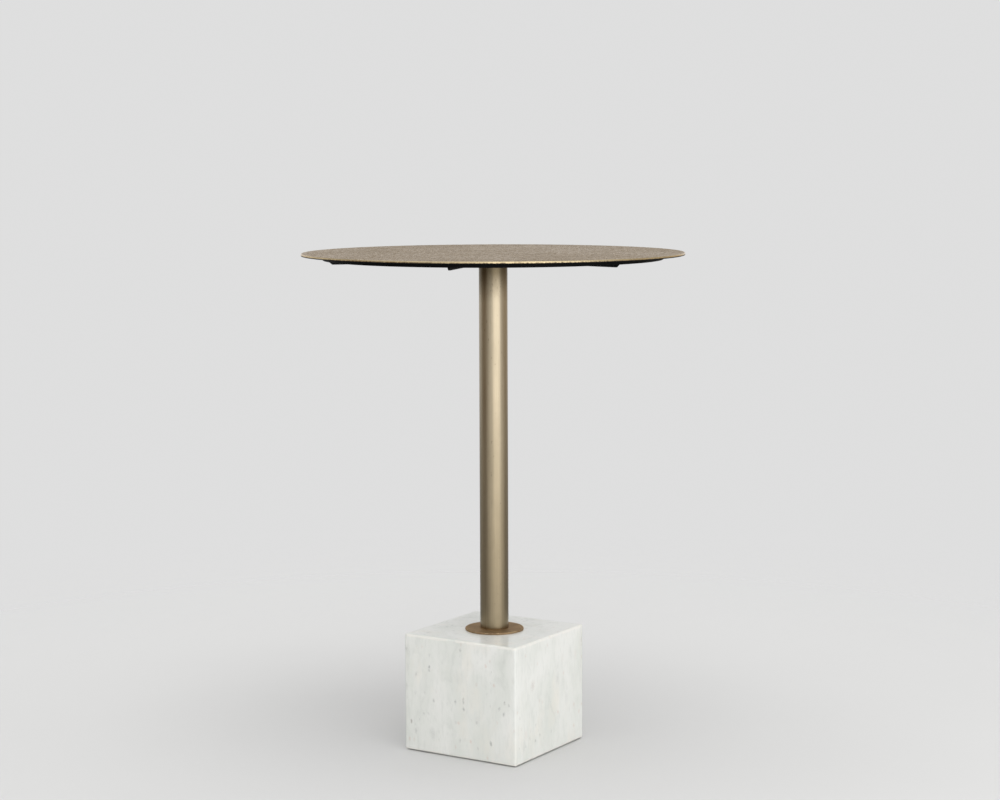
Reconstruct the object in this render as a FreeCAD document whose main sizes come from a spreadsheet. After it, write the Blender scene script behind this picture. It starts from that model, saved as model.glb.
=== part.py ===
import FreeCAD, Part
import os
import Sketcher

# Bar table: a round sheet-metal top on a welded star frame, bolted to a round column that is
# clamped down on a square block of marble. Millimetres and degrees, +Z up. The origin is on the
# floor under the column, and X and Y run along the sides of the block.

doc = FreeCAD.newDocument("bar_table")

# Driving dimensions: name, value, what it measures
SIZES = [
    ("table_height", 1050, "floor to the face of the top"),
    ("top_diameter", 800, "over the turned-down edge"),
    ("sheet_gauge", 2, "sheet of the top"),
    ("rim_depth", 5, "depth of the turned-down edge, outside"),
    ("rim_round", 3, "outside radius of that bend"),
    ("ring_inset", 45, "edge of the top to the outside of the hoop"),
    ("ring_width", 6, "flat bar of the hoop, across"),
    ("ring_depth", 12, "flat bar of the hoop, downwards"),
    ("rib_count", 6, "ribs in the star"),
    ("rib_turn", -12, "first rib from the X axis"),
    ("rib_gauge", 5, "flat bar of a rib, across"),
    ("rib_depth", 18, "flat bar of a rib, downwards"),
    ("rib_bevel", 7, "run of the bevel at a rib's outer end"),
    ("rib_nose", 4, "bevel at a rib's inner end"),
    ("rib_lap", 35, "length of a rib that laps under the hub plate"),
    ("rib_gap", 5, "column plate to the inner end of a rib"),
    ("weld_gap", 0.2, "rib to the inside of the hoop"),
    ("hub_gauge", 6, "hub plate, thick"),
    ("plate_gauge", 5, "column plate, thick"),
    ("plate_margin", 50, "column plate beyond the column, all round"),
    ("bolt_count", 4, "bolts in the head of the column"),
    ("bolt_turn", 45, "first bolt from the X axis"),
    ("bolt_inset", 20, "edge of the column plate to a bolt"),
    ("bolt_size", 8, "bolt thread"),
    ("bolt_across", 13, "bolt head across its flats"),
    ("bolt_head", 5.3, "bolt head, high"),
    ("bolt_short", 0.6, "bolt end below the top of the hub plate"),
    ("bolt_clearance", 0.5, "round a bolt in the column plate and washer"),
    ("washer_width", 3.5, "plain washer, across its ring"),
    ("washer_gauge", 1.6, "plain washer, thick"),
    ("thread_clearance", 0.1, "round a thread in its tapped hole"),
    ("column_diameter", 60, "column tube, outside"),
    ("column_wall", 2, "column tube, wall"),
    ("boss_length", 35, "threaded boss in the foot of the column"),
    ("boss_clearance", 0.1, "boss to the bore of the column"),
    ("flange_margin", 32, "foot flange beyond the column, all round"),
    ("flange_gauge", 4, "foot flange, thick"),
    ("flange_bevel", 1, "eased upper edge of the flange"),
    ("block_width", 275, "marble block, both ways"),
    ("block_height", 248, "marble block, high"),
    ("block_arris", 3, "bevel along every edge of the marble"),
    ("rod_size", 16, "tie rod thread"),
    ("rod_clearance", 0.5, "round the tie rod in flange, plate and washer"),
    ("stone_clearance", 2, "round the tie rod in the marble"),
    ("rod_bevel", 1.5, "chamfer at both ends of the tie rod"),
    ("rod_end", 4, "tie rod beyond the nut"),
    ("nut_across", 24, "nut across its flats"),
    ("nut_height", 13, "nut, high"),
    ("spring_width", 5, "spring washer, across its ring"),
    ("spring_gauge", 3.5, "spring washer, thick"),
    ("spring_slit", 3, "cut in the spring washer"),
    ("clamp_width", 60, "square clamp plate under the marble"),
    ("clamp_gauge", 6, "clamp plate, thick"),
    ("recess_gap", 2.5, "corners of the clamp plate to the wall of its round recess"),
    ("recess_spare", 7, "underside of the marble to the tie rod"),
    ("pad_width", 40, "square foot pad"),
    ("pad_gauge", 2, "foot pad, thick"),
    ("pad_inset", 35, "side of the block to the middle of a pad"),
]

sheet = doc.addObject("Spreadsheet::Sheet", "sizes")
for row, (name, value, meaning) in enumerate(SIZES, start=1):
    sheet.set(f"A{row}", name)
    sheet.set(f"B{row}", str(value))
    sheet.set(f"C{row}", meaning)
    sheet.setAlias(f"B{row}", name)
doc.recompute()

# Heights above the floor and the length of the tie rod, as expressions of the sheet
ROD_FOOT = "(sizes.pad_gauge + sizes.recess_spare)"
NUT_FOOT = f"({ROD_FOOT} + sizes.rod_end)"
SPRING_FOOT = f"({NUT_FOOT} + sizes.nut_height)"
CLAMP_FOOT = f"({SPRING_FOOT} + sizes.spring_gauge)"
RECESS_TOP = f"({CLAMP_FOOT} + sizes.clamp_gauge)"
BLOCK_TOP = "(sizes.pad_gauge + sizes.block_height)"
FLANGE_TOP = f"({BLOCK_TOP} + sizes.flange_gauge)"
ROD_LENGTH = f"({FLANGE_TOP} + sizes.boss_length - {ROD_FOOT})"
SHEET_FOOT = "(sizes.table_height - sizes.sheet_gauge)"
HUB_FOOT = f"({SHEET_FOOT} - sizes.hub_gauge)"
PLATE_FOOT = f"({HUB_FOOT} - sizes.plate_gauge)"
WASHER_FOOT = f"({PLATE_FOOT} - sizes.washer_gauge)"
HEAD_FOOT = f"({WASHER_FOOT} - sizes.bolt_head)"

# Radii from the axis of the column
TOP_RADIUS = "(sizes.top_diameter / 2)"
RING_OUTSIDE = f"({TOP_RADIUS} - sizes.ring_inset)"
RING_INSIDE = f"({RING_OUTSIDE} - sizes.ring_width)"
COLUMN_RADIUS = "(sizes.column_diameter / 2)"
COLUMN_BORE = f"({COLUMN_RADIUS} - sizes.column_wall)"
PLATE_RADIUS = f"({COLUMN_RADIUS} + sizes.plate_margin)"
BOLT_CIRCLE = f"({PLATE_RADIUS} - sizes.bolt_inset)"
RIB_START = f"({PLATE_RADIUS} + sizes.rib_gap)"
HUB_RADIUS = f"({RIB_START} + sizes.rib_lap)"
RIB_END = f"({RING_INSIDE} - sizes.weld_gap)"
FLANGE_RADIUS = f"({COLUMN_RADIUS} + sizes.flange_margin)"
ROD_RADIUS = "(sizes.rod_size / 2)"
ROD_HOLE = f"({ROD_RADIUS} + sizes.rod_clearance)"
ROD_TAPPED = f"({ROD_RADIUS} + sizes.thread_clearance)"
BOLT_RADIUS = "(sizes.bolt_size / 2)"
BOLT_HOLE = f"({BOLT_RADIUS} + sizes.bolt_clearance)"
BOLT_TAPPED = f"({BOLT_RADIUS} + sizes.thread_clearance)"
RECESS_RADIUS = "(sizes.clamp_width / sqrt(2) + sizes.recess_gap)"
PAD_PLACE = "(sizes.block_width / 2 - sizes.pad_inset)"

pieces = []


def number(expression):
    """Present value of an expression of the sheet."""
    return float(sheet.evalExpression(expression))


def new_body(label, rise):
    """Body of one piece, with its foot at the height given."""
    body = doc.addObject("PartDesign::Body", label)
    body.Label = label
    body.setExpression("Placement.Base.z", rise)
    pieces.append(body)
    return body


def new_sketch(body, role, name):
    """Empty sketch on one of the body's own origin planes."""
    sketch = body.newObject("Sketcher::SketchObject", name)
    plane = next(item for item in body.Origin.OriginFeatures if item.Role == role)
    sketch.AttachmentSupport = (plane, [""])
    sketch.MapMode = "FlatFace"
    return sketch


def bind(sketch, kind, places, expression, name):
    """Sketch constraint whose value follows an expression."""
    index = sketch.addConstraint(Sketcher.Constraint(kind, *places, number(expression)))
    sketch.renameConstraint(index, name)
    sketch.setExpression(f"Constraints.{name}", expression)


def draw_outline(sketch, corners):
    """Closed outline of straight lines through corners, each a pair of expressions."""
    first = sketch.GeometryCount
    spots = [FreeCAD.Vector(number(across), number(along), 0) for across, along in corners]
    for spot, following in zip(spots, spots[1:] + spots[:1]):
        sketch.addGeometry(Part.LineSegment(spot, following))
    for side, (across, along) in enumerate(corners):
        line = first + side
        after = first + (side + 1) % len(corners)
        sketch.addConstraint(Sketcher.Constraint("Coincident", line, 2, after, 1))
        bind(sketch, "DistanceX", (-1, 1, line, 1), across, f"across_{line}")
        bind(sketch, "DistanceY", (-1, 1, line, 1), along, f"along_{line}")


def draw_square(sketch, width):
    """Square about the origin of a sketch."""
    half = f"({width} / 2)"
    draw_outline(sketch, [(f"-{half}", f"-{half}"), (half, f"-{half}"), (half, half), (f"-{half}", half)])


def draw_circle(sketch, radius, across="0", along="0"):
    """Circle of a radius about a point, all expressions."""
    middle = FreeCAD.Vector(number(across), number(along), 0)
    circle = sketch.addGeometry(Part.Circle(middle, FreeCAD.Vector(0, 0, 1), number(radius)))
    bind(sketch, "DistanceX", (-1, 1, circle, 3), across, f"across_{circle}")
    bind(sketch, "DistanceY", (-1, 1, circle, 3), along, f"along_{circle}")
    bind(sketch, "Radius", (circle,), radius, f"radius_{circle}")


def pad(body, sketch, length, side="One side"):
    """Sketch drawn out to a solid."""
    feature = body.newObject("PartDesign::Pad", "Pad")
    feature.Profile = sketch
    feature.SideType = side
    feature.setExpression("Length", length)
    doc.recompute()


def pocket(body, sketch, depth):
    """Cut upwards from the foot of the body, which has to take material away."""
    before = body.Shape.Volume
    feature = body.newObject("PartDesign::Pocket", "Pocket")
    feature.Profile = sketch
    feature.Reversed = True
    feature.setExpression("Length", depth)
    doc.recompute()
    if body.Shape.Volume >= before:
        raise ValueError(f"the pocket in {body.Label} cuts nothing")
    return feature


def turned(label, rise, corners):
    """Piece turned about the vertical axis from an outline of radius and height."""
    body = new_body(label, rise)
    sketch = new_sketch(body, "XZ_Plane", "Profile")
    draw_outline(sketch, corners)
    feature = body.newObject("PartDesign::Revolution", "Revolution")
    feature.Profile = sketch
    feature.ReferenceAxis = (sketch, ["V_Axis"])
    feature.Angle = 360
    doc.recompute()
    return body


def ease(body, kind, size, chosen=None):
    """Fillet or Chamfer on the edges of the body that a test picks, or on all of its edges."""
    base = body.Tip
    names = [
        f"Edge{index}"
        for index, edge in enumerate(base.Shape.Edges, start=1)
        if chosen is None or chosen(edge)
    ]
    feature = body.newObject(f"PartDesign::{kind}", kind)
    feature.Base = (base, names)
    feature.setExpression("Radius" if kind == "Fillet" else "Size", size)
    doc.recompute()


def at_circle(radius, height):
    """Test for the circular edge of a radius at a height within its body."""
    near = 1e-4

    def test(edge):
        box = edge.BoundBox
        level = abs(box.ZMin - height) < near and abs(box.ZMax - height) < near
        return level and abs(box.XMax - radius) < near

    return test


def holed_plate(label, rise, radius, gauge, hole):
    """Round plate with a ring of holes on the bolt circle."""
    body = new_body(label, rise)
    disc = new_sketch(body, "XY_Plane", "Disc")
    draw_circle(disc, radius)
    pad(body, disc, gauge)
    drill = new_sketch(body, "XY_Plane", "Hole")
    across = f"{BOLT_CIRCLE} * cos(sizes.bolt_turn)"
    along = f"{BOLT_CIRCLE} * sin(sizes.bolt_turn)"
    draw_circle(drill, hole, across, along)
    cut = pocket(body, drill, gauge)
    pattern = body.newObject("PartDesign::PolarPattern", "BoltCircle")
    pattern.Originals = [cut]
    pattern.Axis = (drill, ["N_Axis"])
    pattern.Angle = 360
    pattern.setExpression("Occurrences", "sizes.bolt_count")
    body.Tip = pattern
    doc.recompute()


def cylinder(name, radius, height):
    """Plain cylinder whose sizes follow the sheet."""
    item = doc.addObject("Part::Cylinder", name)
    item.setExpression("Radius", radius)
    item.setExpression("Height", height)
    return item


def hexagon(name, across, height):
    """Hexagonal bar of a size across its flats."""
    item = doc.addObject("Part::Prism", name)
    item.Polygon = 6
    item.setExpression("Circumradius", f"{across} / sqrt(3)")
    item.setExpression("Height", height)
    return item


def joined(kind, name, base, tool):
    """Boolean of two solids: Part::Cut or Part::Fuse."""
    item = doc.addObject(kind, name)
    item.Base = base
    item.Tool = tool
    return item


def bolt_group(label, rise, make):
    """One node holding a separate solid at each place of the bolt circle."""
    members = []
    for place in range(int(number("sizes.bolt_count"))):
        angle = f"(sizes.bolt_turn + {place} * 360 / sizes.bolt_count)"
        member = make(f"{label}_{place + 1}")
        member.setExpression("Placement.Base.x", f"{BOLT_CIRCLE} * cos({angle})")
        member.setExpression("Placement.Base.y", f"{BOLT_CIRCLE} * sin({angle})")
        members.append(member)
    group = doc.addObject("Part::Compound", label)
    group.Label = label
    group.Links = members
    group.setExpression("Placement.Base.z", rise)
    pieces.append(group)


# Tabletop: a sheet with its edge turned down over a rounded bend
def make_top():
    leg = "-(sizes.rim_depth - sizes.sheet_gauge)"
    inside = f"({TOP_RADIUS} - sizes.sheet_gauge)"
    top = turned("top_sheet", SHEET_FOOT, [
        ("0", "0"),
        (inside, "0"),
        (inside, leg),
        (TOP_RADIUS, leg),
        (TOP_RADIUS, "sizes.sheet_gauge"),
        ("0", "sizes.sheet_gauge"),
    ])
    outer_edge = at_circle(number(TOP_RADIUS), number("sizes.sheet_gauge"))
    ease(top, "Fillet", "sizes.rim_round", outer_edge)


# Star frame: a rolled hoop, a hub plate and ribs on edge between them, all welded under the sheet
def make_frame():
    turned("frame_ring", SHEET_FOOT, [
        (RING_INSIDE, "-sizes.ring_depth"),
        (RING_OUTSIDE, "-sizes.ring_depth"),
        (RING_OUTSIDE, "0"),
        (RING_INSIDE, "0"),
    ])
    holed_plate("hub_plate", HUB_FOOT, HUB_RADIUS, "sizes.hub_gauge", BOLT_TAPPED)
    for place in range(int(number("sizes.rib_count"))):
        make_rib(place)


# Rib: notched over the hub plate, bevelled up to the hoop at its outer end
def make_rib(place):
    rib = new_body(f"support_rib_{place + 1}", SHEET_FOOT)
    side = new_sketch(rib, "XZ_Plane", "Side")
    draw_outline(side, [
        (RIB_START, "-sizes.hub_gauge"),
        (HUB_RADIUS, "-sizes.hub_gauge"),
        (HUB_RADIUS, "0"),
        (RIB_END, "0"),
        (RIB_END, "-sizes.ring_depth"),
        (f"{RIB_END} - sizes.rib_bevel", "-sizes.rib_depth"),
        (f"{RIB_START} + sizes.rib_nose", "-sizes.rib_depth"),
        (RIB_START, "-(sizes.rib_depth - sizes.rib_nose)"),
    ])
    pad(rib, side, "sizes.rib_gauge", "Symmetric")
    rib.setExpression("Placement.Rotation.Angle", f"sizes.rib_turn + {place} * 360 / sizes.rib_count")


# Column: a tube between the foot flange and the plate that bolts up to the hub
def make_column():
    holed_plate("column_top_plate", PLATE_FOOT, PLATE_RADIUS, "sizes.plate_gauge", BOLT_HOLE)
    tube = new_body("column_tube", FLANGE_TOP)
    ring = new_sketch(tube, "XY_Plane", "Section")
    draw_circle(ring, COLUMN_RADIUS)
    draw_circle(ring, COLUMN_BORE)
    pad(tube, ring, f"{PLATE_FOOT} - {FLANGE_TOP}")
    turned("base_flange", BLOCK_TOP, [
        (ROD_HOLE, "0"),
        (FLANGE_RADIUS, "0"),
        (FLANGE_RADIUS, "sizes.flange_gauge - sizes.flange_bevel"),
        (f"{FLANGE_RADIUS} - sizes.flange_bevel", "sizes.flange_gauge"),
        (ROD_HOLE, "sizes.flange_gauge"),
    ])
    boss = new_body("column_boss", FLANGE_TOP)
    bush = new_sketch(boss, "XY_Plane", "Section")
    draw_circle(bush, f"{COLUMN_BORE} - sizes.boss_clearance")
    draw_circle(bush, ROD_TAPPED)
    pad(boss, bush, "sizes.boss_length")


# Bolts and washers that hold the column plate up against the hub plate
def make_top_bolts():
    grip = "(sizes.washer_gauge + sizes.plate_gauge + sizes.hub_gauge - sizes.bolt_short)"

    def bolt(name):
        head = hexagon(f"{name}_head", "sizes.bolt_across", "sizes.bolt_head")
        shank = cylinder(f"{name}_shank", BOLT_RADIUS, f"sizes.bolt_head + {grip}")
        return joined("Part::Fuse", name, head, shank)

    def washer(name):
        disc = cylinder(f"{name}_disc", f"{BOLT_HOLE} + sizes.washer_width", "sizes.washer_gauge")
        bore = cylinder(f"{name}_bore", BOLT_HOLE, "sizes.washer_gauge")
        return joined("Part::Cut", name, disc, bore)

    bolt_group("top_bolts", HEAD_FOOT, bolt)
    bolt_group("top_washers", WASHER_FOOT, washer)


# Marble block, bored for the tie rod and recessed underneath for its nut
def make_block():
    block = new_body("marble_base", "sizes.pad_gauge")
    square = new_sketch(block, "XY_Plane", "Square")
    draw_square(square, "sizes.block_width")
    pad(block, square, "sizes.block_height")
    ease(block, "Chamfer", "sizes.block_arris")
    bore = new_sketch(block, "XY_Plane", "Bore")
    draw_circle(bore, f"{ROD_RADIUS} + sizes.stone_clearance")
    pocket(block, bore, "sizes.block_height")
    recess = new_sketch(block, "XY_Plane", "Recess")
    draw_circle(recess, RECESS_RADIUS)
    pocket(block, recess, f"{RECESS_TOP} - sizes.pad_gauge")


# Clamp: a tie rod from the boss in the column down to a nut under the block
def make_clamp():
    turned("tie_rod", ROD_FOOT, [
        ("0", "0"),
        (f"{ROD_RADIUS} - sizes.rod_bevel", "0"),
        (ROD_RADIUS, "sizes.rod_bevel"),
        (ROD_RADIUS, f"{ROD_LENGTH} - sizes.rod_bevel"),
        (f"{ROD_RADIUS} - sizes.rod_bevel", ROD_LENGTH),
        ("0", ROD_LENGTH),
    ])
    clamp = new_body("clamp_plate", CLAMP_FOOT)
    square = new_sketch(clamp, "XY_Plane", "Square")
    draw_square(square, "sizes.clamp_width")
    draw_circle(square, ROD_HOLE)
    pad(clamp, square, "sizes.clamp_gauge")
    washer = new_body("spring_washer", SPRING_FOOT)
    ring = new_sketch(washer, "XY_Plane", "Ring")
    draw_circle(ring, f"{ROD_HOLE} + sizes.spring_width")
    draw_circle(ring, ROD_HOLE)
    pad(washer, ring, "sizes.spring_gauge")
    slit = new_sketch(washer, "XY_Plane", "Slit")
    beyond = f"({ROD_HOLE} + 2 * sizes.spring_width)"
    draw_outline(slit, [
        ("0", "-sizes.spring_slit / 2"),
        (beyond, "-sizes.spring_slit / 2"),
        (beyond, "sizes.spring_slit / 2"),
        ("0", "sizes.spring_slit / 2"),
    ])
    pocket(washer, slit, "sizes.spring_gauge")
    bar = hexagon("nut_bar", "sizes.nut_across", "sizes.nut_height")
    thread = cylinder("nut_thread", ROD_TAPPED, "sizes.nut_height")
    nut = joined("Part::Cut", "clamp_nut", bar, thread)
    nut.Label = "clamp_nut"
    nut.setExpression("Placement.Base.z", NUT_FOOT)
    pieces.append(nut)


# Foot pads, one near each corner of the block
def make_pads():
    corners = [("", ""), ("-", ""), ("-", "-"), ("", "-")]
    for place, (across, along) in enumerate(corners, start=1):
        foot = new_body(f"foot_pad_{place}", "0")
        square = new_sketch(foot, "XY_Plane", "Square")
        draw_square(square, "sizes.pad_width")
        pad(foot, square, "sizes.pad_gauge")
        foot.setExpression("Placement.Base.x", f"{across}{PAD_PLACE}")
        foot.setExpression("Placement.Base.y", f"{along}{PAD_PLACE}")


make_top()
make_frame()
make_column()
make_top_bolts()
make_block()
make_clamp()
make_pads()
doc.recompute()

# Every object has to be sound before anything is written
for item in doc.Objects:
    if {"Invalid", "Error"} & set(item.State):
        raise ValueError(f"{item.Label} failed: {item.State}")
for piece in pieces:
    if piece.Shape.isNull() or not piece.Shape.isValid():
        raise ValueError(f"{piece.Label} has no valid shape")

os.makedirs("parts", exist_ok=True)
for piece in pieces:
    piece.Shape.exportStep(f"parts/{piece.Label}.step")
    print(piece.Label, len(piece.Shape.Solids), round(piece.Shape.Volume, 1))
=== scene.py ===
from math import cos, pi, radians, sin, sqrt, tan, tau

import bmesh
import bpy
import numpy as np
from mathutils import Matrix, Vector


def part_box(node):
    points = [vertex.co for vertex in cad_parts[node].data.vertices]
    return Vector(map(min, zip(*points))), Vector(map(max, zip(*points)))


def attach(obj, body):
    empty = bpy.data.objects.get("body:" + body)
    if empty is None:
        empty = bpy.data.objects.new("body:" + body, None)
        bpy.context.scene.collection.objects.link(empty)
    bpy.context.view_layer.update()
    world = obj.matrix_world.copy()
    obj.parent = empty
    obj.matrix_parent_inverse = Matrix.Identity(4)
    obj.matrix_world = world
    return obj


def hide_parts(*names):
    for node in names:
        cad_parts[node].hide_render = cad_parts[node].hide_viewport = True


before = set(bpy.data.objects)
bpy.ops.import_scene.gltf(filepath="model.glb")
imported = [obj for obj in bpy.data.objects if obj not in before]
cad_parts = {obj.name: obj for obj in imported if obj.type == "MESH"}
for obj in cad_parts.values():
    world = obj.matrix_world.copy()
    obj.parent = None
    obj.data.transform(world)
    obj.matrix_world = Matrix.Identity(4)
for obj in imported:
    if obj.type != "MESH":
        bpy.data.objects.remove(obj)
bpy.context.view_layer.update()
print("frame loaded with", len(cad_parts), "nodes")


# Surfaces as grids of points

def gridSurface(points, wear=0.0, closeRows=False, closeColumns=False, capped=False, finish=0):
    # Quads join the neighbours in a (rows, columns, 3) grid. A closed direction joins its last line to its
    # first, and a capped surface has its first and last rows filled in.
    rows, columns = points.shape[:2]
    index = np.arange(rows * columns).reshape(rows, columns)
    caps = [index[0], index[-1][::-1]] if capped else []
    if closeRows:
        index = np.vstack([index, index[:1]])
    if closeColumns:
        index = np.hstack([index, index[:, :1]])
    quads = np.stack([index[:-1, :-1], index[1:, :-1], index[1:, 1:], index[:-1, 1:]], -1)
    return {
        "points": points.reshape(-1, 3),
        "faces": quads.reshape(-1, 4),
        "caps": caps,
        "wear": np.broadcast_to(wear, (rows, columns)).ravel(),
        "finish": finish,
    }


def roundedOutline(corners, steps=5, fade=0.003):
    # Each corner (u, v, radius) gives way to an arc tangent to its two sides: the arc's centre lies on the
    # bisector, at radius / sin(half the angle). Wear is 1 on the arc and 0 from the distance fade on.
    points, wear = [], []
    for place, (u, v, radius) in enumerate(corners):
        here = np.array([u, v])
        if radius == 0:
            points.append(here[None])
            wear.append(np.zeros(1))
            continue
        back = np.array(corners[place - 1][:2]) - here
        ahead = np.array(corners[(place + 1) % len(corners)][:2]) - here
        backLength, aheadLength = np.linalg.norm(back), np.linalg.norm(ahead)
        back, ahead = back / backLength, ahead / aheadLength
        half = np.arccos(np.clip(back @ ahead, -1, 1)) / 2
        reach = radius / tan(half)
        centre = here + (back + ahead) / np.linalg.norm(back + ahead) * radius / sin(half)
        sweep = pi - 2 * half
        share = np.linspace(0, 1, steps + 1)[:, None]
        first, last = here + back * reach - centre, here + ahead * reach - centre
        arc = centre + (np.sin((1 - share) * sweep) * first + np.sin(share * sweep) * last) / sin(sweep)
        worn = np.ones(steps + 1)
        if fade:
            before = here + back * min(reach + fade, backLength / 2)
            after = here + ahead * min(reach + fade, aheadLength / 2)
            arc = np.vstack([before, arc, after])
            worn = np.concatenate([[0], worn, [0]])
        points.append(arc)
        wear.append(worn)
    return np.vstack(points), np.concatenate(wear)


def ringSection(inside, outside, low, high, eases, steps=3, fade=0.003):
    # A rectangle with its corners eased, from the lower inner one on. A disc's inner side is the axis.
    corners = [(inside, low), (outside, low), (outside, high), (inside, high)]
    return roundedOutline([(*corner, ease) for corner, ease in zip(corners, eases)], steps, fade)


def turned(section, wear, columns, closed=False, spot=(0, 0), finish=0, slit=0.0):
    # The section's (radius, height) points are carried round the upright axis through the spot, by a full
    # turn less the slit. A slit leaves two ends, which are filled in.
    whole = slit == 0
    turn = np.linspace(slit / 2, tau - slit / 2, columns, endpoint=not whole)
    radius, height = section.T
    x = spot[0] + np.outer(np.cos(turn), radius)
    y = spot[1] + np.outer(np.sin(turn), radius)
    points = np.stack([x, y, np.broadcast_to(height, x.shape)], -1)
    return gridSurface(points, wear, closeRows=whole, closeColumns=closed, capped=not whole, finish=finish)


def squareBody(half, corner, rows, spot=(0, 0), sideSteps=8, cornerSteps=6, closed=False):
    # A quarter of a rounded square, a side and then a corner, is repeated by quarter turns. Its points have a
    # core, the corner's radius inside, and an outward direction. Each row is a loop at its own height: core +
    # reach * outward, or the core drawn in by the reach, or a circle towards the square's points.
    inner = half - corner
    side = np.linspace(-inner, inner, sideSteps + 1)
    bend = np.linspace(0, pi / 2, cornerSteps + 1)[1:-1]
    cores = np.vstack([np.stack([np.full_like(side, inner), side], 1), np.full((len(bend), 2), inner)])
    outward = np.vstack([np.tile([1.0, 0.0], (len(side), 1)), np.stack([np.cos(bend), np.sin(bend)], 1)])
    quarters = [np.linalg.matrix_power(np.array([[0, 1], [-1, 0]]), turn) for turn in range(4)]
    cores = np.vstack([cores @ quarter for quarter in quarters])
    outward = np.vstack([outward @ quarter for quarter in quarters])
    rim = cores + corner * outward
    directions = rim / np.linalg.norm(rim, axis=1, keepdims=True)
    make = {
        "square": lambda reach: cores + reach * outward,
        "inset": lambda reach: cores * (1 - reach / inner),
        "round": lambda reach: reach * directions,
    }
    loops = [make[kind](reach) + np.array(spot) for kind, reach, z, worn in rows]
    heights = [np.full((len(cores), 1), z) for kind, reach, z, worn in rows]
    points = np.stack([np.hstack(pair) for pair in zip(loops, heights)])
    wear = np.array([worn for kind, reach, z, worn in rows])[:, None]
    return gridSurface(points, wear, closeRows=closed, closeColumns=True)


def easedRows(reach, ease, low, high, steps=3):
    # Square rows that follow a quarter circle, down over the upper edge and down over the lower one.
    bend = np.linspace(pi / 2, 0, steps + 1)
    upper = [("square", reach + ease * cos(b), high - ease + ease * sin(b), 1) for b in bend]
    lower = [("square", reach + ease * cos(b), low + ease - ease * sin(b), 1) for b in bend[::-1]]
    return upper, lower


def placed(name, data):
    made = bpy.data.objects.new(name, data)
    bpy.context.scene.collection.objects.link(made)
    return made


def makePiece(name, surfaces, finishes, replaced=(), sharp=40, fields=None):
    # The surfaces become one mesh. Touching points are merged, so that seams and poles close.
    starts = np.cumsum([0] + [len(part["points"]) for part in surfaces[:-1]])
    faces = np.vstack([part["faces"] + start for part, start in zip(surfaces, starts)])
    caps = [(cap + start).tolist() for part, start in zip(surfaces, starts) for cap in part["caps"]]
    mesh = bpy.data.meshes.new(name)
    mesh.from_pydata(np.vstack([part["points"] for part in surfaces]).tolist(), [], faces.tolist() + caps)
    kinds = [np.full(len(part["faces"]), part["finish"]) for part in surfaces]
    kinds = np.concatenate(kinds + [np.zeros(len(caps), int)])
    mesh.polygons.foreach_set("material_index", kinds.astype(np.int32))
    values = {"wear": np.concatenate([part["wear"] for part in surfaces]), **(fields or {})}
    for label, value in values.items():
        attribute = mesh.attributes.new(label, "FLOAT", "POINT")
        attribute.data.foreach_set("value", value.astype(np.float32))
    shell = bmesh.new()
    shell.from_mesh(mesh)
    bmesh.ops.remove_doubles(shell, verts=shell.verts, dist=1e-6)
    bmesh.ops.recalc_face_normals(shell, faces=shell.faces)
    shell.to_mesh(mesh)
    shell.free()
    mesh.polygons.foreach_set("use_smooth", np.ones(len(mesh.polygons), bool))
    mesh.set_sharp_from_angle(angle=radians(sharp))
    for finish in finishes:
        mesh.materials.append(finish)
    piece = placed(name, mesh)
    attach(piece, "root")
    if replaced:
        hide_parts(*replaced)
    return piece


def ringPiece(name, solid, inside, eases, columns, finish, slot, steps=3, fade=0.003, slit=0.0):
    # A ring or disc as wide and high as the solid, with its edges eased.
    low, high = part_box(solid)
    section, worn = ringSection(inside, high.x, low.z, high.z, eases, steps, fade)
    makePiece(name, [turned(section, worn, columns, inside > 0, slit=slit)], [finish], [solid])


def squarePlate(name, solid, corner, ease, hole, finish):
    # A plate as wide and high as the solid: loops from the hole or the middle over the top, down and back in.
    low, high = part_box(solid)
    half, spot = (high.x - low.x) / 2, ((low.x + high.x) / 2, (low.y + high.y) / 2)
    upper, lower = easedRows(corner - ease, ease, low.z, high.z)
    rows = [("round", hole, high.z, 0), *upper, *lower, ("round", hole, low.z, 0)]
    makePiece(name, [squareBody(half, corner, rows, spot, closed=hole > 0)], [finish], [solid])


# Shader nodes

def node(tree, kind, wires=None, **options):
    # A wire is another node's socket, which is linked, or a plain value, which is set.
    made = tree.nodes.new("ShaderNode" + kind)
    for name, value in options.items():
        setattr(made, name, value)
    for socket, value in (wires or {}).items():
        if isinstance(value, bpy.types.NodeSocket):
            tree.links.new(value, made.inputs[socket])
        else:
            made.inputs[socket].default_value = value
    return made


def tone(red, green, blue):
    return (red, green, blue, 1.0)


def grey(level):
    return tone(level, level, level)


def calc(tree, operation, first, second=0.0, third=0.0):
    return node(tree, "Math", {0: first, 1: second, 2: third}, operation=operation).outputs[0]


def vectorCalc(tree, operation, *wires):
    made = node(tree, "VectorMath", dict(enumerate(wires)), operation=operation)
    return made.outputs["Value" if operation in ("LENGTH", "DOT_PRODUCT") else "Vector"]


def weighted(tree, weights, masks):
    # The plain weight, where there is one, plus each mask times its weight.
    total = weights.get("plain", 0.0)
    for label in [label for label in weights if label != "plain"]:
        total = calc(tree, "MULTIPLY_ADD", masks[label], weights[label], total)
    return total


def remap(tree, value, low, high, toLow=0.0, toHigh=1.0):
    wires = {"Value": value, "From Min": low, "From Max": high, "To Min": toLow, "To Max": toHigh}
    return node(tree, "MapRange", wires, interpolation_type="SMOOTHSTEP").outputs["Result"]


def mixTones(tree, factor, first, second, share=1.0):
    # The second tone covers the first by the factor times the share.
    if share != 1.0:
        factor = calc(tree, "MULTIPLY", factor, share)
    return node(tree, "Mix", {0: factor, 6: first, 7: second}, data_type="RGBA").outputs[2]


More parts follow.
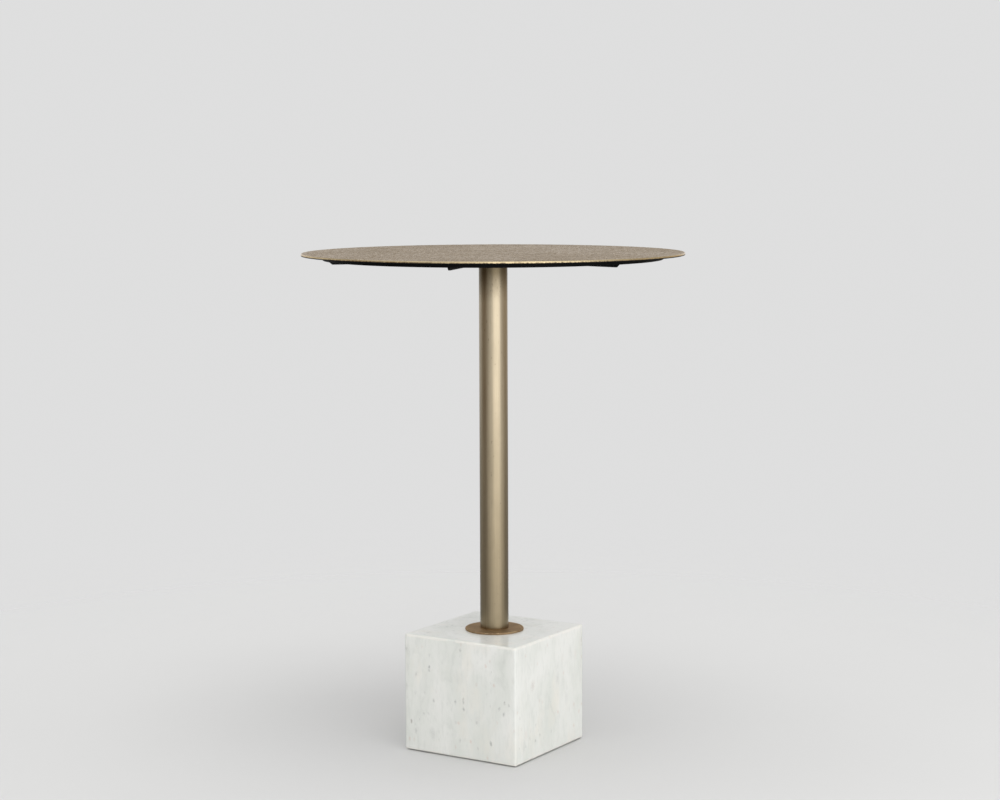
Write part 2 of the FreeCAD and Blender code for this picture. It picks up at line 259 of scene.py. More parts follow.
def drawnOut(tree, vector, share):
    # Heights count only by the share, which draws a pattern out upwards.
    return vectorCalc(tree, "MULTIPLY", vector, (1.0, 1.0, share))


def noise(tree, vector, scale, detail=3.0, roughness=0.5, start=None, full=None):
    # With a start and a full value it is cut into patches, from nothing at the start to one at full.
    wires = {"Vector": vector, "Scale": scale, "Detail": detail, "Roughness": roughness}
    made = node(tree, "TexNoise", wires).outputs[0]
    return made if start is None else remap(tree, made, start, full)


def field(tree, label):
    return node(tree, "Attribute", attribute_name=label).outputs["Fac"]


# Effects that the materials share

def makeGroup(name, inputs, build):
    # A group's inputs have plain values until they are linked. Its outputs are what build returns.
    tree = bpy.data.node_groups.new(name, "ShaderNodeTree")
    for label, value in {"Vector": (0.0, 0.0, 0.0), **inputs}.items():
        kind = "NodeSocketVector" if isinstance(value, tuple) else "NodeSocketFloat"
        tree.interface.new_socket(label, in_out="INPUT", socket_type=kind).default_value = value
    made = build(tree, tree.nodes.new("NodeGroupInput").outputs)
    for label in made:
        tree.interface.new_socket(label, in_out="OUTPUT", socket_type="NodeSocketFloat")
    ends = tree.nodes.new("NodeGroupOutput").inputs
    for label, value in made.items():
        tree.links.new(value, ends[label])
    return tree


def rubNodes(tree, given, threshold=0.72, lowered=0.5, soft=0.14):
    # The edge field times a coarse noise is cut by a soft threshold, which Amount lowers.
    coarse = noise(tree, given["Vector"], given["Scale"], detail=5.0, roughness=0.65)
    product = calc(tree, "MULTIPLY", given["Edge"], coarse)
    low = calc(tree, "SUBTRACT", threshold, calc(tree, "MULTIPLY", given["Amount"], lowered))
    return {"rubAndHighlight": remap(tree, product, low, calc(tree, "ADD", low, soft))}


def patinaNodes(tree, given, bloomCut=(0.35, 0.68), fleckCut=(0.66, 0.74)):
    # Bloom is a broad noise. Flecks are the deepest spots of a fine one, and only where bloom is strong.
    drawn = vectorCalc(tree, "MULTIPLY", given["Vector"], given["Stretch"])
    bloom = noise(tree, drawn, given["Scale"], 5.0, 0.6, *bloomCut)
    flecks = noise(tree, drawn, given["Flecks"], 3.0, 0.5, *fleckCut)
    return {"bloom": bloom, "fleck": calc(tree, "MULTIPLY", flecks, bloom)}


def brushingNodes(tree, given, coarser=0.28):
    # A fine and a coarse noise are drawn out along one direction, and their sum is centred on zero.
    drawn = vectorCalc(tree, "MULTIPLY", given["Vector"], given["Stretch"])
    fine = noise(tree, drawn, given["Scale"], detail=2.0, roughness=0.6)
    coarse = noise(tree, drawn, calc(tree, "MULTIPLY", given["Scale"], coarser), detail=3.0, roughness=0.6)
    return {"line": calc(tree, "SUBTRACT", calc(tree, "ADD", fine, coarse), 1.0)}


def dustNodes(tree, given, upward=(0.35, 0.95), cut=(0.3, 0.75)):
    # Dust lies where the surface faces up, and thins out where a noise is low.
    normal = node(tree, "NewGeometry").outputs["Normal"]
    lies = remap(tree, node(tree, "SeparateXYZ", {0: normal}).outputs["Z"], *upward)
    patchy = noise(tree, given["Vector"], given["Scale"], 6.0, 0.65, *cut)
    return {"dust": calc(tree, "MULTIPLY", lies, patchy)}


plainStretch = (1.0, 1.0, 1.0)
effects = {
    "rubAndHighlight": makeGroup("edgeRub", {"Edge": 0.0, "Scale": 60.0, "Amount": 0.5}, rubNodes),
    "patina": makeGroup("patina", {"Stretch": plainStretch, "Scale": 10.0, "Flecks": 160.0}, patinaNodes),
    "brushing": makeGroup("brushing", {"Stretch": plainStretch, "Scale": 500.0}, brushingNodes),
    "dust": makeGroup("dust", {"Scale": 30.0}, dustNodes),
}
print("shader groups ready")


# Materials. A finish has noises (scale, detail, roughness, and where patches start and are full), layers
# (mask, tone, share) and a bump (strength, height).

def startMaterial(name, plain):
    material = bpy.data.materials.new(name)
    material.use_nodes = True
    tree = material.node_tree
    shader = tree.nodes["Principled BSDF"]
    for socket, value in plain.items():
        shader.inputs[socket].default_value = value
    return material, tree, shader


def makeMaterial(name, finish, addMasks=None):
    # Masks come from the finish's noises, its effects and addMasks. Each layer covers the base by mask times
    # share, or brightens it where it has no tone. Roughness and height are weighted sums of masks.
    material, tree, shader = startMaterial(name, finish["plain"])
    place = node(tree, "TexCoord").outputs["Object"]
    noises = finish.get("noises", {})
    masks = {label: noise(tree, place, *numbers) for label, numbers in noises.items()}
    for label in [label for label in effects if label in finish]:
        wires = {"Vector": place, **finish[label]}
        if label == "rubAndHighlight":
            wires["Edge"] = field(tree, "wear")
        masks.update(node(tree, "Group", wires, node_tree=effects[label]).outputs.items())
    if addMasks:
        addMasks(tree, place, finish, masks)
    colour = finish["base"]
    for label, cover, share in finish["layers"]:
        if cover:
            colour = mixTones(tree, masks[label], colour, cover, share)
        else:
            wires = {0: colour, "Scale": calc(tree, "MULTIPLY_ADD", masks[label], share, 1.0)}
            colour = node(tree, "VectorMath", wires, operation="SCALE").outputs["Vector"]
    tree.links.new(colour, shader.inputs["Base Color"])
    tree.links.new(weighted(tree, finish["rough"], masks), shader.inputs["Roughness"])
    strength, distance = finish["bump"]
    wires = {"Height": weighted(tree, finish["height"], masks), "Strength": strength, "Distance": distance}
    tree.links.new(node(tree, "Bump", wires).outputs["Normal"], shader.inputs["Normal"])
    return material


hammeredFinish = {
    "plain": {"Metallic": 1.0, "Specular Tint": tone(0.935, 0.845, 0.745)},
    "base": tone(0.185, 0.139, 0.085),
    "layers": [
        ("bright", tone(0.350, 0.272, 0.168), 1.0),
        ("fleck", tone(0.070, 0.050, 0.035), 0.55),
        ("rubAndHighlight", tone(0.560, 0.455, 0.275), 1.0),
    ],
    "patina": {"Scale": 6.0, "Flecks": 240.0},
    "rubAndHighlight": {"Scale": 45.0, "Amount": 0.9},
    "noises": {"pores": (900.0, 2.0)},
    "peenScale": 150.0,  # small marks to the metre
    "shine": {"rise": 0.7, "ridge": 0.45, "tone": 0.20, "peenTone": 0.38, "bloom": -0.15},
    "shineSpan": (-0.05, 1.15),
    "rough": {"plain": 0.34, "bloom": 0.04, "shine": -0.12, "rubAndHighlight": -0.18},
    "marks": {"rise": 1.0, "pores": 0.05},
    "height": {"marks": 1.0},
    "bump": (1.0, 0.00085),
}
lacquerFinish = {
    "plain": {"Metallic": 0.5, "Specular IOR Level": 0.3},
    "base": tone(0.020, 0.015, 0.010),
    "layers": [("thin", tone(0.075, 0.055, 0.034), 1.0)],
    "noises": {"cover": (14.0, 5.0)},
    "coverSpan": (0.30, 0.75),
    "riseSpan": (0.16, 0.0),
    "rough": {"plain": 0.34, "cover": 0.22},
    "height": {"rise": -1.0},
    "bump": hammeredFinish["bump"],
}


def peenMarks(tree, place):
    # Small marks lie between the sheet's own. One rises with the square of the distance to its centre.
    wires = {"Vector": place, "Scale": hammeredFinish["peenScale"]}
    cell = node(tree, "TexVoronoi", wires, voronoi_dimensions="2D", feature="F1").outputs
    return calc(tree, "POWER", cell["Distance"], 2.0), cell["Color"]


def addHammering(tree, place, finish, masks):
    # Ridges and high places are bright, hollows dark, and every mark has a tone. The rim has no small marks.
    masks["rise"], colour = peenMarks(tree, place)
    masks["peenTone"] = node(tree, "SeparateColor", {0: colour}).outputs["Red"]
    masks["ridge"], masks["tone"] = field(tree, "ridge"), field(tree, "tone")
    masks["shine"] = weighted(tree, finish["shine"], masks)
    masks["bright"] = remap(tree, masks["shine"], *finish["shineSpan"])
    awayFromRim = calc(tree, "SUBTRACT", 1.0, field(tree, "wear"))
    masks["marks"] = calc(tree, "MULTIPLY", weighted(tree, finish["marks"], masks), awayFromRim)


def addThinLacquer(tree, place, finish, masks):
    # On the sheet's back the small marks stand out, and the film is thinner on them.
    masks["rise"] = peenMarks(tree, place)[0]
    thin = remap(tree, masks["rise"], *finish["riseSpan"])
    masks["thin"] = calc(tree, "MULTIPLY", thin, remap(tree, masks["cover"], *finish["coverSpan"]))


columnFinish = {
    "plain": {"Metallic": 1.0},
    "base": tone(0.296, 0.243, 0.160),
    "layers": [
        # painted shading: lighter towards the head, over the darker base towards the foot
        ("heightShading", tone(0.396, 0.336, 0.243), 1.0),
        ("heat", tone(0.088, 0.068, 0.038), 0.92),  # painted shade under the tabletop, darkening the column's head
        ("specks", tone(0.110, 0.082, 0.052), 0.6),
        ("line", None, 0.35),
        ("rubAndHighlight", tone(0.560, 0.450, 0.270), 1.0),
    ],
    # painted shading by height: lighter towards the head, darker towards the foot
    "heightShadingSpan": (0.25, 1.0),
    "heightShadingBloom": -0.12,
    # painted shade under the tabletop: the heights over which it darkens the head
    "headShadeHeights": (0.950, 1.026),
    "headShadeBloom": 0.015,
    "noises": {"headSpecks": (240.0, 3.0, 0.5, 0.60, 0.68)},
    "speckHeights": (0.93, 1.02),
    "patina": {"Stretch": (1.0, 1.0, 0.4), "Scale": 14.0, "Flecks": 230.0},
    "brushing": {"Stretch": (1.0, 1.0, 0.012), "Scale": 620.0},
    "rubAndHighlight": {"Scale": 80.0, "Amount": 0.7},
    "rough": {"plain": 0.30, "line": 0.12, "bloom": 0.06},
    "height": {"line": 1.0},
    "bump": (0.10, 0.0003),
}


def addShadingAndSpecks(tree, place, finish, masks):
    # Painted shading: the tone grows lighter with the height. Painted shade under the tabletop darkens the
    # head, where dark specks also gather.
    height, bloom = node(tree, "SeparateXYZ", {0: place}).outputs["Z"], masks["bloom"]
    heightShading = remap(tree, height, *finish["heightShadingSpan"])
    masks["heightShading"] = calc(tree, "MULTIPLY_ADD", bloom, finish["heightShadingBloom"], heightShading)
    heat = calc(tree, "MULTIPLY_ADD", bloom, finish["headShadeBloom"], height)
    masks["heat"] = remap(tree, heat, *finish["headShadeHeights"])
    specks = calc(tree, "MULTIPLY", masks["headSpecks"], remap(tree, height, *finish["speckHeights"]))
    masks["specks"] = calc(tree, "MAXIMUM", masks["fleck"], specks)


flangeFinish = {
    "plain": {"Metallic": 0.6, "Specular Tint": tone(0.80, 0.64, 0.48)},
    "base": tone(0.335, 0.226, 0.124),
    "layers": [
        ("bloom", tone(0.235, 0.158, 0.088), 1.0),
        ("fleck", tone(0.06, 0.04, 0.025), 0.7),
        ("rubAndHighlight", tone(0.480, 0.370, 0.220), 1.0),
    ],
    "patina": {"Scale": 45.0, "Flecks": 300.0},
    "rubAndHighlight": {"Scale": 110.0, "Amount": 0.55},
    "rings": {"Scale": 900.0, "Detail": 3.0},
    "rough": {"plain": 0.42, "rings": 0.14},
    "height": {"rings": 1.0},
    "bump": (0.12, 0.0003),
}


def addRings(tree, place, finish, masks):
    # The marks of turning are a noise of the distance to the axis alone.
    wires = {"W": vectorCalc(tree, "LENGTH", drawnOut(tree, place, 0.0)), **finish["rings"]}
    masks["rings"] = node(tree, "TexNoise", wires, noise_dimensions="1D").outputs[0]


paintAndShadeFinish = {
    "plain": {"Metallic": 0.0, "Specular IOR Level": 0.06},
    # black paint with its tone set darker than paint gets: partly painted shade under the top
    "base": tone(0.0032, 0.0032, 0.0035),
    "layers": [("dust", tone(0.020, 0.019, 0.018), 0.6), ("rubAndHighlight", tone(0.075, 0.072, 0.068), 1.0)],
    "dust": {"Scale": 40.0},
    "rubAndHighlight": {"Scale": 130.0, "Amount": 0.24},
    "noises": {"peel": (520.0, 2.0), "broad": (26.0, 4.0)},
    "rough": {"plain": 0.46, "broad": 0.20},
    "height": {"peel": 1.0},
    "bump": (0.22, 0.0004),
}
zincFinish = {
    "plain": {"Metallic": 1.0},
    "base": tone(0.600, 0.605, 0.615),
    "layers": [("bloom", tone(0.330, 0.335, 0.335), 1.0), ("rubAndHighlight", tone(0.72, 0.72, 0.73), 1.0)],
    "patina": {"Scale": 120.0, "Flecks": 700.0},
    "rubAndHighlight": {"Scale": 300.0, "Amount": 0.6},
    "noises": {"crystals": (1500.0, 2.0)},
    "rough": {"plain": 0.30, "bloom": 0.16},
    "height": {"crystals": 1.0},
    "bump": (0.10, 0.0002),
}
rubberFinish = {
    "plain": {"Metallic": 0.0, "Specular IOR Level": 0.3},
    "base": tone(0.018, 0.018, 0.019),
    "layers": [("broad", tone(0.034, 0.033, 0.032), 1.0)],
    "noises": {"broad": (70.0, 4.0), "fibre": (800.0, 4.0, 0.7)},
    "rough": {"plain": 0.7, "fibre": 0.2},
    "height": {"fibre": 1.0},
    "bump": (0.4, 0.0004),
}
marbleFinish = {
    "plain": {"Metallic": 0.0, "Specular IOR Level": 0.22},
    "base": tone(0.848, 0.854, 0.824),
    "layers": [
        ("clouds", tone(0.752, 0.772, 0.730), 1.0),
        ("creams", tone(0.850, 0.815, 0.735), 0.40),
        ("grains", tone(0.695, 0.712, 0.678), 0.45),
        ("smudges", tone(0.230, 0.240, 0.235), 0.20),
        ("specks", tone(0.230, 0.240, 0.235), 0.64),
        ("rust", tone(0.620, 0.420, 0.335), 0.35),
        ("veins", tone(0.55, 0.57, 0.54), 0.20),
        # lighter cream on the arrises: worn edges, and partly a painted highlight along them
        ("rubAndHighlight", tone(0.880, 0.862, 0.805), 0.6),
    ],
    "drift": {"Scale": 11.0, "Detail": 3.0},
    "drawnOut": {"clouds": 0.42, "grains": 0.28, "specks": 0.62},  # shares of the heights
    "pushed": {"clouds": 0.06, "specks": 0.018},  # metres by which the drift moves them
    "clouds": (13.0, 6.0, 0.58, 0.34, 0.70),
    "creams": (17.0, 4.0, 0.55, 0.50, 0.72),
    "grains": (130.0, 5.0, 0.62, 0.46, 0.74),
    "veins": (9.0, 4.0, 0.55),
    "veinSpan": (0.040, 0.0),
    "small": (92.0, 0.60, 0.16),  # cells to the metre, and how far out a spot ends and is full
    "large": (34.0, 0.58, 0.12),
    "ragged": 0.40,
    "odds": {  # size of cell, its draw, and where a spot starts to show and shows fully
        "specks": ("small", "Red", 0.68, 1.0),
        "smudges": ("large", "Red", 0.55, 0.9),
        "rust": ("small", "Green", 0.90, 0.96),
        "haze": ("large", "Green", 0.80, 0.95),
    },
    "crowdSpan": (0.44, 0.62, 0.20, 1.30),
    "hazeShare": 0.45,
    "rubAndHighlight": {"Scale": 55.0, "Amount": 0.75},
    "noises": {"edges": (330.0, 4.0), "crowd": (14.0, 2.0), "polish": (60.0, 4.0), "pores": (700.0, 2.0)},
    "rough": {"plain": 0.11, "polish": 0.10, "specks": 0.15},
    "height": {"pores": 0.15, "specks": -1.0},
    "bump": (0.10, 0.0004),
}


def spots(tree, place, ragged, scale, wide, narrow):
    # A spot fills the middle of a random cell, out to a ragged limit. The cell's own draws go with it.
    cell = node(tree, "TexVoronoi", {"Vector": place, "Scale": scale}, feature="F1").outputs
    spot = remap(tree, calc(tree, "ADD", cell["Distance"], ragged), wide, narrow)
    return spot, node(tree, "SeparateColor", {0: cell["Color"]}).outputs


def addStone(tree, place, finish, masks):
    # Clouds, cream and grain are patches. Specks, which gather in crowds, smudges and rust fill cells by the
    # odds of their draws. Veins follow the middle level of a noise through the clouds.
    drift = node(tree, "TexNoise", {"Vector": place, **finish["drift"]}).outputs["Color"]
    drawn = {label: drawnOut(tree, place, share) for label, share in finish["drawnOut"].items()}
    pushed = {
        label: vectorCalc(tree, "MULTIPLY_ADD", drift, (far, far, far), drawn[label])
        for label, far in finish["pushed"].items()
    }
    masks["clouds"] = noise(tree, pushed["clouds"], *finish["clouds"])
    masks["creams"] = noise(tree, drawn["clouds"], *finish["creams"])
    masks["grains"] = noise(tree, drawn["grains"], *finish["grains"])
    ragged = calc(tree, "MULTIPLY", masks["edges"], finish["ragged"])
    cells = {size: spots(tree, pushed["specks"], ragged, *finish[size]) for size in ("small", "large")}
    for label, (size, draw, start, full) in finish["odds"].items():
        spot, draws = cells[size]
        masks[label] = calc(tree, "MULTIPLY", spot, remap(tree, draws[draw], start, full))
    crowd = remap(tree, masks["crowd"], *finish["crowdSpan"])
    masks["specks"] = calc(tree, "MULTIPLY", masks["specks"], crowd)
    masks["rust"] = calc(tree, "MULTIPLY_ADD", masks["haze"], finish["hazeShare"], masks["rust"])
    level = noise(tree, pushed["clouds"], *finish["veins"])
    level = calc(tree, "ABSOLUTE", calc(tree, "SUBTRACT", level, 0.5))
    masks["veins"] = calc(tree, "MULTIPLY", remap(tree, level, *finish["veinSpan"]), masks["clouds"])


hammeredBrass = makeMaterial("hammered brass", hammeredFinish, addHammering)
darkLacquer = makeMaterial("dark lacquer", lacquerFinish, addThinLacquer)
columnBrass = makeMaterial("column brass", columnFinish, addShadingAndSpecks)
flangeBronze = makeMaterial("flange bronze", flangeFinish, addRings)
blackPaintAndShade = makeMaterial("black paint and shade", paintAndShadeFinish)
zinc = makeMaterial("zinc", zincFinish)
padRubber = makeMaterial("pad rubber", rubberFinish)
marble = makeMaterial("marble", marbleFinish, addStone)
print("materials ready")


# Tabletop

topValues = {
    "cells": 272,  # grid cells across the sheet
    "inside": 0.0002,  # the rim stays this far inside the solid's
    "gauge": 0.002,
    "bend": 0.0016,  # round of the rim's outer bend
    "innerBend": 0.0012,
    "lip": 0.0009,  # round of the sheet's cut edge
    "innerLip": 0.0005,
    "paintAndShadeLine": 0.0017,  # black paint comes this far up the rim, partly real paint and partly a painted dark reflection on the flank
    "lineWear": 0.6,  # wear of the brass just above the paint
    "rimFields": {"ridge": 0.75, "tone": 0.5},
    "border": 0.010,  # plain band inside the bend
    "pitch": 0.0125,  # from one hammer mark to the next
    "stray": 0.40,  # how far a mark may stray, in pitches
    "ball": 0.052,  # radius of the hammer's face
    "depth": (0.00040, 0.00062),
    "soft": 0.000025,  # how far the ridges are rounded off
    "ridge": 0.00042,  # rise at which a ridge counts as rubbed bright
    "spare": 5,  # rows of marks beyond the rim
    "seed": 11,
}


def hammerMarks(x, y, values):
    # The marks lie on a hexagonal lattice and stray from it at random. Each is a bowl, distance squared over
    # twice the ball's radius, less its depth. The face is the lowest bowl about a point, with its ridges
    # rounded off. The rise above the bowl's own floor and the tone are those of the mark that made the face.
    pitch, soft = values["pitch"], values["soft"]
    rowStep = pitch * sqrt(3) / 2
    reach = int(np.abs(y).max() / rowStep) + values["spare"]
    lattice = (2 * reach + 1, 2 * reach + 1)
    draw = np.random.default_rng(values["seed"])
    stray = draw.uniform(-values["stray"], values["stray"], (2, *lattice)) * pitch
    depth = draw.uniform(*values["depth"], lattice)
    shade = draw.uniform(0, 1, lattice)
    nearRow = np.rint(y / rowStep).astype(int)
    near = range(-2, 3)
    total, rises, tones = np.zeros_like(x), np.zeros_like(x), np.zeros_like(x)
    for rowShift in near:
        row = nearRow + rowShift
        offset = 0.5 * (row % 2)
        nearColumn = np.rint(x / pitch - offset).astype(int)
        for columnShift in near:
            column = nearColumn + columnShift
            spot = (column + reach, row + reach)
            awayX = x - (column + offset) * pitch - stray[0][spot]
            awayY = y - row * rowStep - stray[1][spot]
            bowl = (awayX ** 2 + awayY ** 2) / (2 * values["ball"])
            share = np.exp((depth[spot] - bowl) / soft)
            total += share
            rises += share * bowl
            tones += share * shade[spot]
    return np.minimum(-soft * np.log(total), 0), rises / total, tones / total


def discGrid(cells):
    # A square grid is pressed into a disc of radius 1, ring by ring, so that all cells keep one area: the
    # radius is the larger coordinate, and the angle follows the smaller one across an eighth of a turn.
    a, b = np.meshgrid(np.linspace(-1, 1, cells + 1), np.linspace(-1, 1, cells + 1), indexing="ij")
    wide = np.abs(a) > np.abs(b)
    radius = np.where(wide, a, b)
    safe = np.where(radius == 0, 1, radius)
    angle = np.where(wide, pi / 4 * b / safe, pi / 2 - pi / 4 * a / safe)
    return np.stack([radius * np.cos(angle), radius * np.sin(angle)])


def makeTop(values):
    # The face is a disc lowered by the hammer marks, which die out towards the bend by a smooth step. The
    # rim, the black lip, partly a painted dark reflection up the flank, and the back are three profiles
    # turned about the axis.
    low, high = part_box("top_sheet")
    outside = high.x - values["inside"]
    within = outside - values["gauge"]
    under = high.z - values["gauge"]
    paintAndShadeLine = low.z + values["paintAndShadeLine"]
    faceRadius = outside - values["bend"]
    x, y = discGrid(values["cells"]) * faceRadius
    fromRim = np.clip((faceRadius - np.hypot(x, y)) / values["border"], 0, 1)
    marks, rises, tones = hammerMarks(x, y, values)
    marks = marks * fromRim ** 2 * (3 - 2 * fromRim)
    face = gridSurface(np.stack([x, y, high.z + marks], -1))

    corners = [(faceRadius, high.z, 0), (outside, high.z, values["bend"]), (outside, paintAndShadeLine, 0)]
    rim, worn = roundedOutline(corners, steps=6, fade=0)
    worn[-1] = values["lineWear"]
    # the lip runs up to the paint line: black paint, and partly a painted dark reflection on the flank
    corners = [(outside, paintAndShadeLine, 0), (outside, low.z, values["lip"])]
    corners += [(within, low.z, values["innerLip"]), (within, paintAndShadeLine, 0)]
    lip = roundedOutline(corners, steps=3, fade=0)[0]
    corners = [(within, paintAndShadeLine, 0), (within, under, values["innerBend"]), (0, under, 0)]
    back = roundedOutline(corners, steps=3, fade=0)[0]
    columns = 4 * values["cells"]
    surfaces = [face, turned(rim, worn, columns)]
    surfaces += [turned(lip, 0.0, columns, finish=1), turned(back, 0.0, columns, finish=2)]

    rest = sum(len(part["points"]) for part in surfaces[1:])
    fields = {"ridge": np.clip(rises.ravel() / values["ridge"], 0, 1), "tone": tones.ravel()}
    for label, value in values["rimFields"].items():
        fields[label] = np.concatenate([fields[label], np.full(rest, value)])
    finishes = [hammeredBrass, blackPaintAndShade, darkLacquer]
    return makePiece(
        "hammered_top", surfaces, finishes, ["top_sheet"], sharp=60, fields=fields
    )


top = makeTop(topValues)
print("top:", len(top.data.polygons), "faces")


# Frame under the top

frameValues = {
    "hoopWidth": 0.006,
    "ease": 0.0007,  # rounding of the bar's edges
    "headGap": 0.005,  # from the column's head plate to the ribs
    "weldGap": 0.0002,
    "ribCount": 6,
    "ribTurn": -12,  # degrees
    "ribGauge": 0.005,
    "ribBevel": 0.007,
    "ribNose": 0.004,
    "bead": 0.0026,
    "hubRipples": 9,
    "hoopRipples": 3,
    "stitches": 18,
    "stitchBead": 0.00195,
    "stitchLength": 0.022,
    "stitchDrop": 0.0008,  # below the sheet
    "stitchRipples": 6,
}


def barShell(outline, gauge, ease, steps=3):
    # A flat bar: its side outline is carried across the gauge and drawn in by a quarter circle at both faces.
    along = np.roll(outline, -1, 0) - np.roll(outline, 1, 0)
    along /= np.linalg.norm(along, axis=1, keepdims=True)
    outward = np.stack([along[:, 1], -along[:, 0]], 1)
    bend = np.linspace(0, pi / 2, steps + 1)
    drawnIn = np.concatenate([ease * (1 - np.sin(bend)), ease * (1 - np.cos(bend))])
    across = np.concatenate([-gauge / 2 + ease * (1 - np.cos(bend)), gauge / 2 - ease * (1 - np.sin(bend))])
    flat = outline[None] - drawnIn[:, None, None] * outward[None]
    thick = np.broadcast_to(across[:, None, None], flat.shape[:2] + (1,))
    points = np.concatenate([flat[..., :1], thick, flat[..., 1:]], -1)
    return gridSurface(points, 1.0, closeColumns=True, capped=True)


def bead(path, size, ripples, helper, swelling=0.10, bluntness=8, columns=10):
    # A round rod carried along the path. Its radius swells at every ripple and closes at both ends.
    share = np.linspace(0, 1, len(path))
    along = np.gradient(path, axis=0)
    along /= np.linalg.norm(along, axis=1, keepdims=True)
    side = np.cross(along, helper)
    side /= np.linalg.norm(side, axis=1, keepdims=True)
    up = np.cross(side, along)
    radius = size * np.sqrt(np.clip(1 - np.abs(2 * share - 1) ** bluntness, 0, 1))
    radius = radius * (1 + swelling * np.cos(tau * ripples * share))
    turn = np.linspace(0, tau, columns, endpoint=False)
    ring = np.cos(turn)[None, :, None] * side[:, None] + np.sin(turn)[None, :, None] * up[:, None]
    return gridSurface(path[:, None] + radius[:, None, None] * ring, closeColumns=True)


def spun(surface, turn):
    # The surface is turned about the upright axis.
    rotation = np.array(Matrix.Rotation(radians(turn), 3, "Z"))
    return {**surface, "points": surface["points"] @ rotation.T}


def makeFrame(values, beadRows=29):
    # The hoop and the hub are eased rectangles turned about the axis. One rib is made and spun to its places.
    ease = values["ease"]
    low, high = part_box("frame_ring")
    inside = high.x - values["hoopWidth"]
    ringPiece("frame_hoop", "frame_ring", inside, [ease] * 4, 300, blackPaintAndShade, "black_paint")
    hubLow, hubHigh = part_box("hub_plate")
    ringPiece("hub_disc", "hub_plate", 0, [0, ease, ease, 0], 180, blackPaintAndShade, "black_paint")

    ribLow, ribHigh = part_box("support_rib_1")
    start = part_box("column_top_plate")[1].x + values["headGap"]
    end = inside - values["weldGap"]
    corners = [
        (start, hubLow.z),
        (start, ribLow.z + values["ribNose"]),
        (start + values["ribNose"], ribLow.z),
        (end - values["ribBevel"], ribLow.z),
        (end, low.z),
        (end, ribHigh.z),
        (hubHigh.x, ribHigh.z),
        (hubHigh.x, hubLow.z),
    ]
    side = roundedOutline([(*corner, ease) for corner in corners], steps=2)[0]
    bar = barShell(side, values["ribGauge"], ease)
    turns = values["ribTurn"] + np.arange(values["ribCount"]) * 360 / values["ribCount"]
    for place, turn in enumerate(turns, 1):
        rib = spun(bar, turn)
        makePiece(f"rib_bar_{place}", [rib], [blackPaintAndShade], [f"support_rib_{place}"])

    # Welds: both flanks of each rib under the hub and at the hoop, and stitches from the hoop to the sheet.
    size, flank = values["bead"], values["ribGauge"] / 2
    welds = []
    for y in (-flank, flank):
        underHub = np.linspace((start, y, hubLow.z), (hubHigh.x, y, hubLow.z), beadRows)
        atHoop = np.linspace((inside, y, low.z), (inside, y, high.z), beadRows)
        welds.append(bead(underHub, size, values["hubRipples"], (0, 0, 1)))
        welds.append(bead(atHoop, size, values["hoopRipples"], (1, 0, 0)))
    beads = [spun(weld, turn) for turn in turns for weld in welds]
    half = values["stitchLength"] / inside / 2
    bow = np.linspace(-half, half, beadRows)
    height = np.full_like(bow, high.z - values["stitchDrop"])
    arc = np.stack([inside * np.cos(bow), inside * np.sin(bow), height], -1)
    stitch = bead(arc, values["stitchBead"], values["stitchRipples"], (0, 0, 1))
    gaps = (np.arange(values["stitches"]) + 0.5) * 360 / values["stitches"] + values["ribTurn"]
    beads += [spun(stitch, turn) for turn in gaps]
    makePiece("frame_welds", beads, [blackPaintAndShade])


makeFrame(frameValues)
print("frame ready")


# Column, its head plate and its foot flange

columnValues = {
    "wall": 0.002,
    "ease": 0.0006,
    "headEase": 0.0008,
    "fillet": 0.003,  # weld under the head plate, ground smooth
    "flangeBore": 0.0085,
    "flangeEase": 0.0004,
    "flangeRound": 0.0013,
}


def makeColumn(values, columns=160, filletSteps=6):
    # Each piece is a section turned about the axis. The weld's section is hollowed by a quarter circle.
    finish = (columnBrass, "column_brass")
    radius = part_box("column_tube")[1].x
    bore, eases = radius - values["wall"], [values["ease"]] * 4
    ringPiece("brass_column", "column_tube", bore, eases, columns, *finish, fade=0.004)
    eases = [0, values["headEase"], values["headEase"], 0]
    ringPiece("head_disc", "column_top_plate", 0, eases, columns, *finish)
    under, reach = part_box("column_top_plate")[0].z, values["fillet"]
    bend = np.linspace(0, pi / 2, filletSteps + 1)
    hollow = np.stack([radius + reach * (1 - np.sin(bend)), under - reach * (1 - np.cos(bend))], -1)
    section = np.vstack([hollow[::-1], [(radius, under)]])
    makePiece("head_weld", [turned(section, 0.0, columns, closed=True)], [columnBrass])
    bore, ease = values["flangeBore"], values["flangeEase"]
    eases, finish = [ease, ease, values["flangeRound"], ease], (flangeBronze, "column_brass")
    ringPiece("foot_flange", "base_flange", bore, eases, 200, *finish, steps=4, fade=0.002)


makeColumn(columnValues)
print("column ready")


# Marble block and its pads

stoneValues = {
    "arris": 0.004,
    "fade": 0.004,  # how far wear reaches from the arris
    "bore": 0.010,
    "ring": 0.45,  # a round row on the top face, as a share of half the width
    "recess": 0.0449,
    "recessTop": 0.0355,
    "mouth": 0.0015,  # bevel at the recess's mouth
}
padValues = {"count": 4, "corner": 0.004, "ease": 0.0006}


